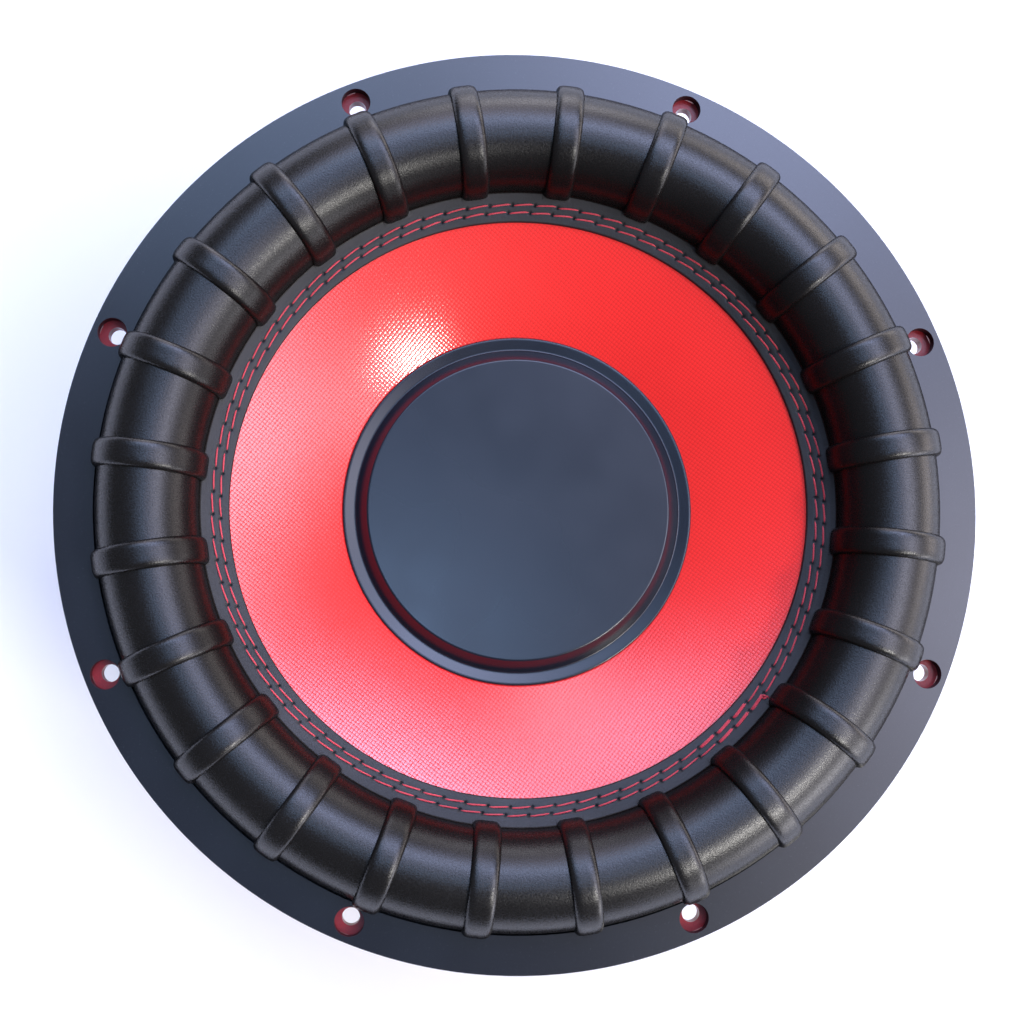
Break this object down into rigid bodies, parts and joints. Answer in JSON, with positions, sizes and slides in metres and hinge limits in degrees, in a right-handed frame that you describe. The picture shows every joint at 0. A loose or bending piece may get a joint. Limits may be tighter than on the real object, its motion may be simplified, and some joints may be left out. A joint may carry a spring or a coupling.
{
  "type": "car subwoofer speaker",
  "caption": "High-excursion car subwoofer with a ribbed high-roll surround, red woven cone, stitched cone edge, raised-disc dust cap, red cast basket and a double magnet motor.",
  "frame": {"origin": "centre of the mounting plane, the rear face of the flange", "axes": "+Z out of the front of the cone, +X through the right push terminal"},
  "size_m": [0.318, 0.318, 0.19],
  "materials": {
    "basket_paint": "gloss",
    "gasket_rubber": "satin",
    "surround_foam_rubber": "satin",
    "cone_pulp": "matte",
    "cone_weave": "gloss",
    "stitch_thread": "matte",
    "cap_plastic": "satin",
    "former_aluminium": "satin",
    "collar_paper": "matte",
    "coil_copper": "satin",
    "spider_cloth": "matte",
    "spacer_plastic": "matte",
    "motor_steel": "satin",
    "magnet_ferrite": "matte",
    "sleeve_copper": "satin",
    "screen_steel": "matte",
    "screw_steel": "satin",
    "terminal_plastic": "matte",
    "terminal_board": "satin",
    "tab_brass": "satin",
    "button_red": "gloss",
    "button_black": "gloss",
    "spring_steel": "satin",
    "lead_braid": "satin"
  },
  "bodies": {
    "chassis": {"basket": "basket_paint", "mounting_gasket": "gasket_rubber", "spider_spacer": "spacer_plastic", "top_plate": "motor_steel", "magnet_front": "magnet_ferrite", "magnet_rear": "magnet_ferrite", "t_yoke": "motor_steel", "shorting_sleeve": "sleeve_copper", "vent_screen": "screen_steel", "frame_screws": "screw_steel", "terminal_base_right": "terminal_board", "solder_tabs_right": "tab_brass", "terminal_screws_right": "screw_steel", "terminal_base_left": "terminal_board", "solder_tabs_left": "tab_brass", "terminal_screws_left": "screw_steel", "terminal_housing_1": "terminal_plastic", "button_spring_1": "spring_steel", "tinsel_lead_1": "lead_braid", "terminal_housing_2": "terminal_plastic", "button_spring_2": "spring_steel", "tinsel_lead_2": "lead_braid", "terminal_housing_3": "terminal_plastic", "button_spring_3": "spring_steel", "tinsel_lead_3": "lead_braid", "terminal_housing_4": "terminal_plastic", "button_spring_4": "spring_steel", "tinsel_lead_4": "lead_braid"},
    "cone_assembly": {"cone_body": "cone_pulp", "cone_skin": "cone_weave", "stitch_row_inner": "stitch_thread", "stitch_row_outer": "stitch_thread", "dust_cap": "cap_plastic", "voice_coil_former": "former_aluminium", "former_collar": "collar_paper", "voice_coil_inner": "coil_copper", "voice_coil_outer": "coil_copper", "surround": "surround_foam_rubber", "spider_upper": "spider_cloth", "spider_lower": "spider_cloth"},
    "button_1": {"terminal_button_1": "button_red"},
    "button_2": {"terminal_button_2": "button_black"},
    "button_3": {"terminal_button_3": "button_red"},
    "button_4": {"terminal_button_4": "button_black"}
  },
  "joints": [
    {"name": "cone_travel", "type": "slide", "parent": "chassis", "child": "cone_assembly", "axis": [0, 0, 1], "range_m": [-0.022, 0.022], "stiffness_N_per_m": 8000, "deforming": ["surround", "spider_upper", "spider_lower", "tinsel_lead_1", "tinsel_lead_2", "tinsel_lead_3", "tinsel_lead_4"]},
    {"name": "button_1_press", "type": "slide", "parent": "chassis", "child": "button_1", "axis": [-1, 0, 0], "range_m": [0, 0.004], "stiffness_N_per_m": 500, "deforming": ["button_spring_1"]},
    {"name": "button_2_press", "type": "slide", "parent": "chassis", "child": "button_2", "axis": [-1, 0, 0], "range_m": [0, 0.004], "stiffness_N_per_m": 500, "deforming": ["button_spring_2"]},
    {"name": "button_3_press", "type": "slide", "parent": "chassis", "child": "button_3", "axis": [1, 0, 0], "range_m": [0, 0.004], "stiffness_N_per_m": 500, "deforming": ["button_spring_3"]},
    {"name": "button_4_press", "type": "slide", "parent": "chassis", "child": "button_4", "axis": [1, 0, 0], "range_m": [0, 0.004], "stiffness_N_per_m": 500, "deforming": ["button_spring_4"]}
  ]
}
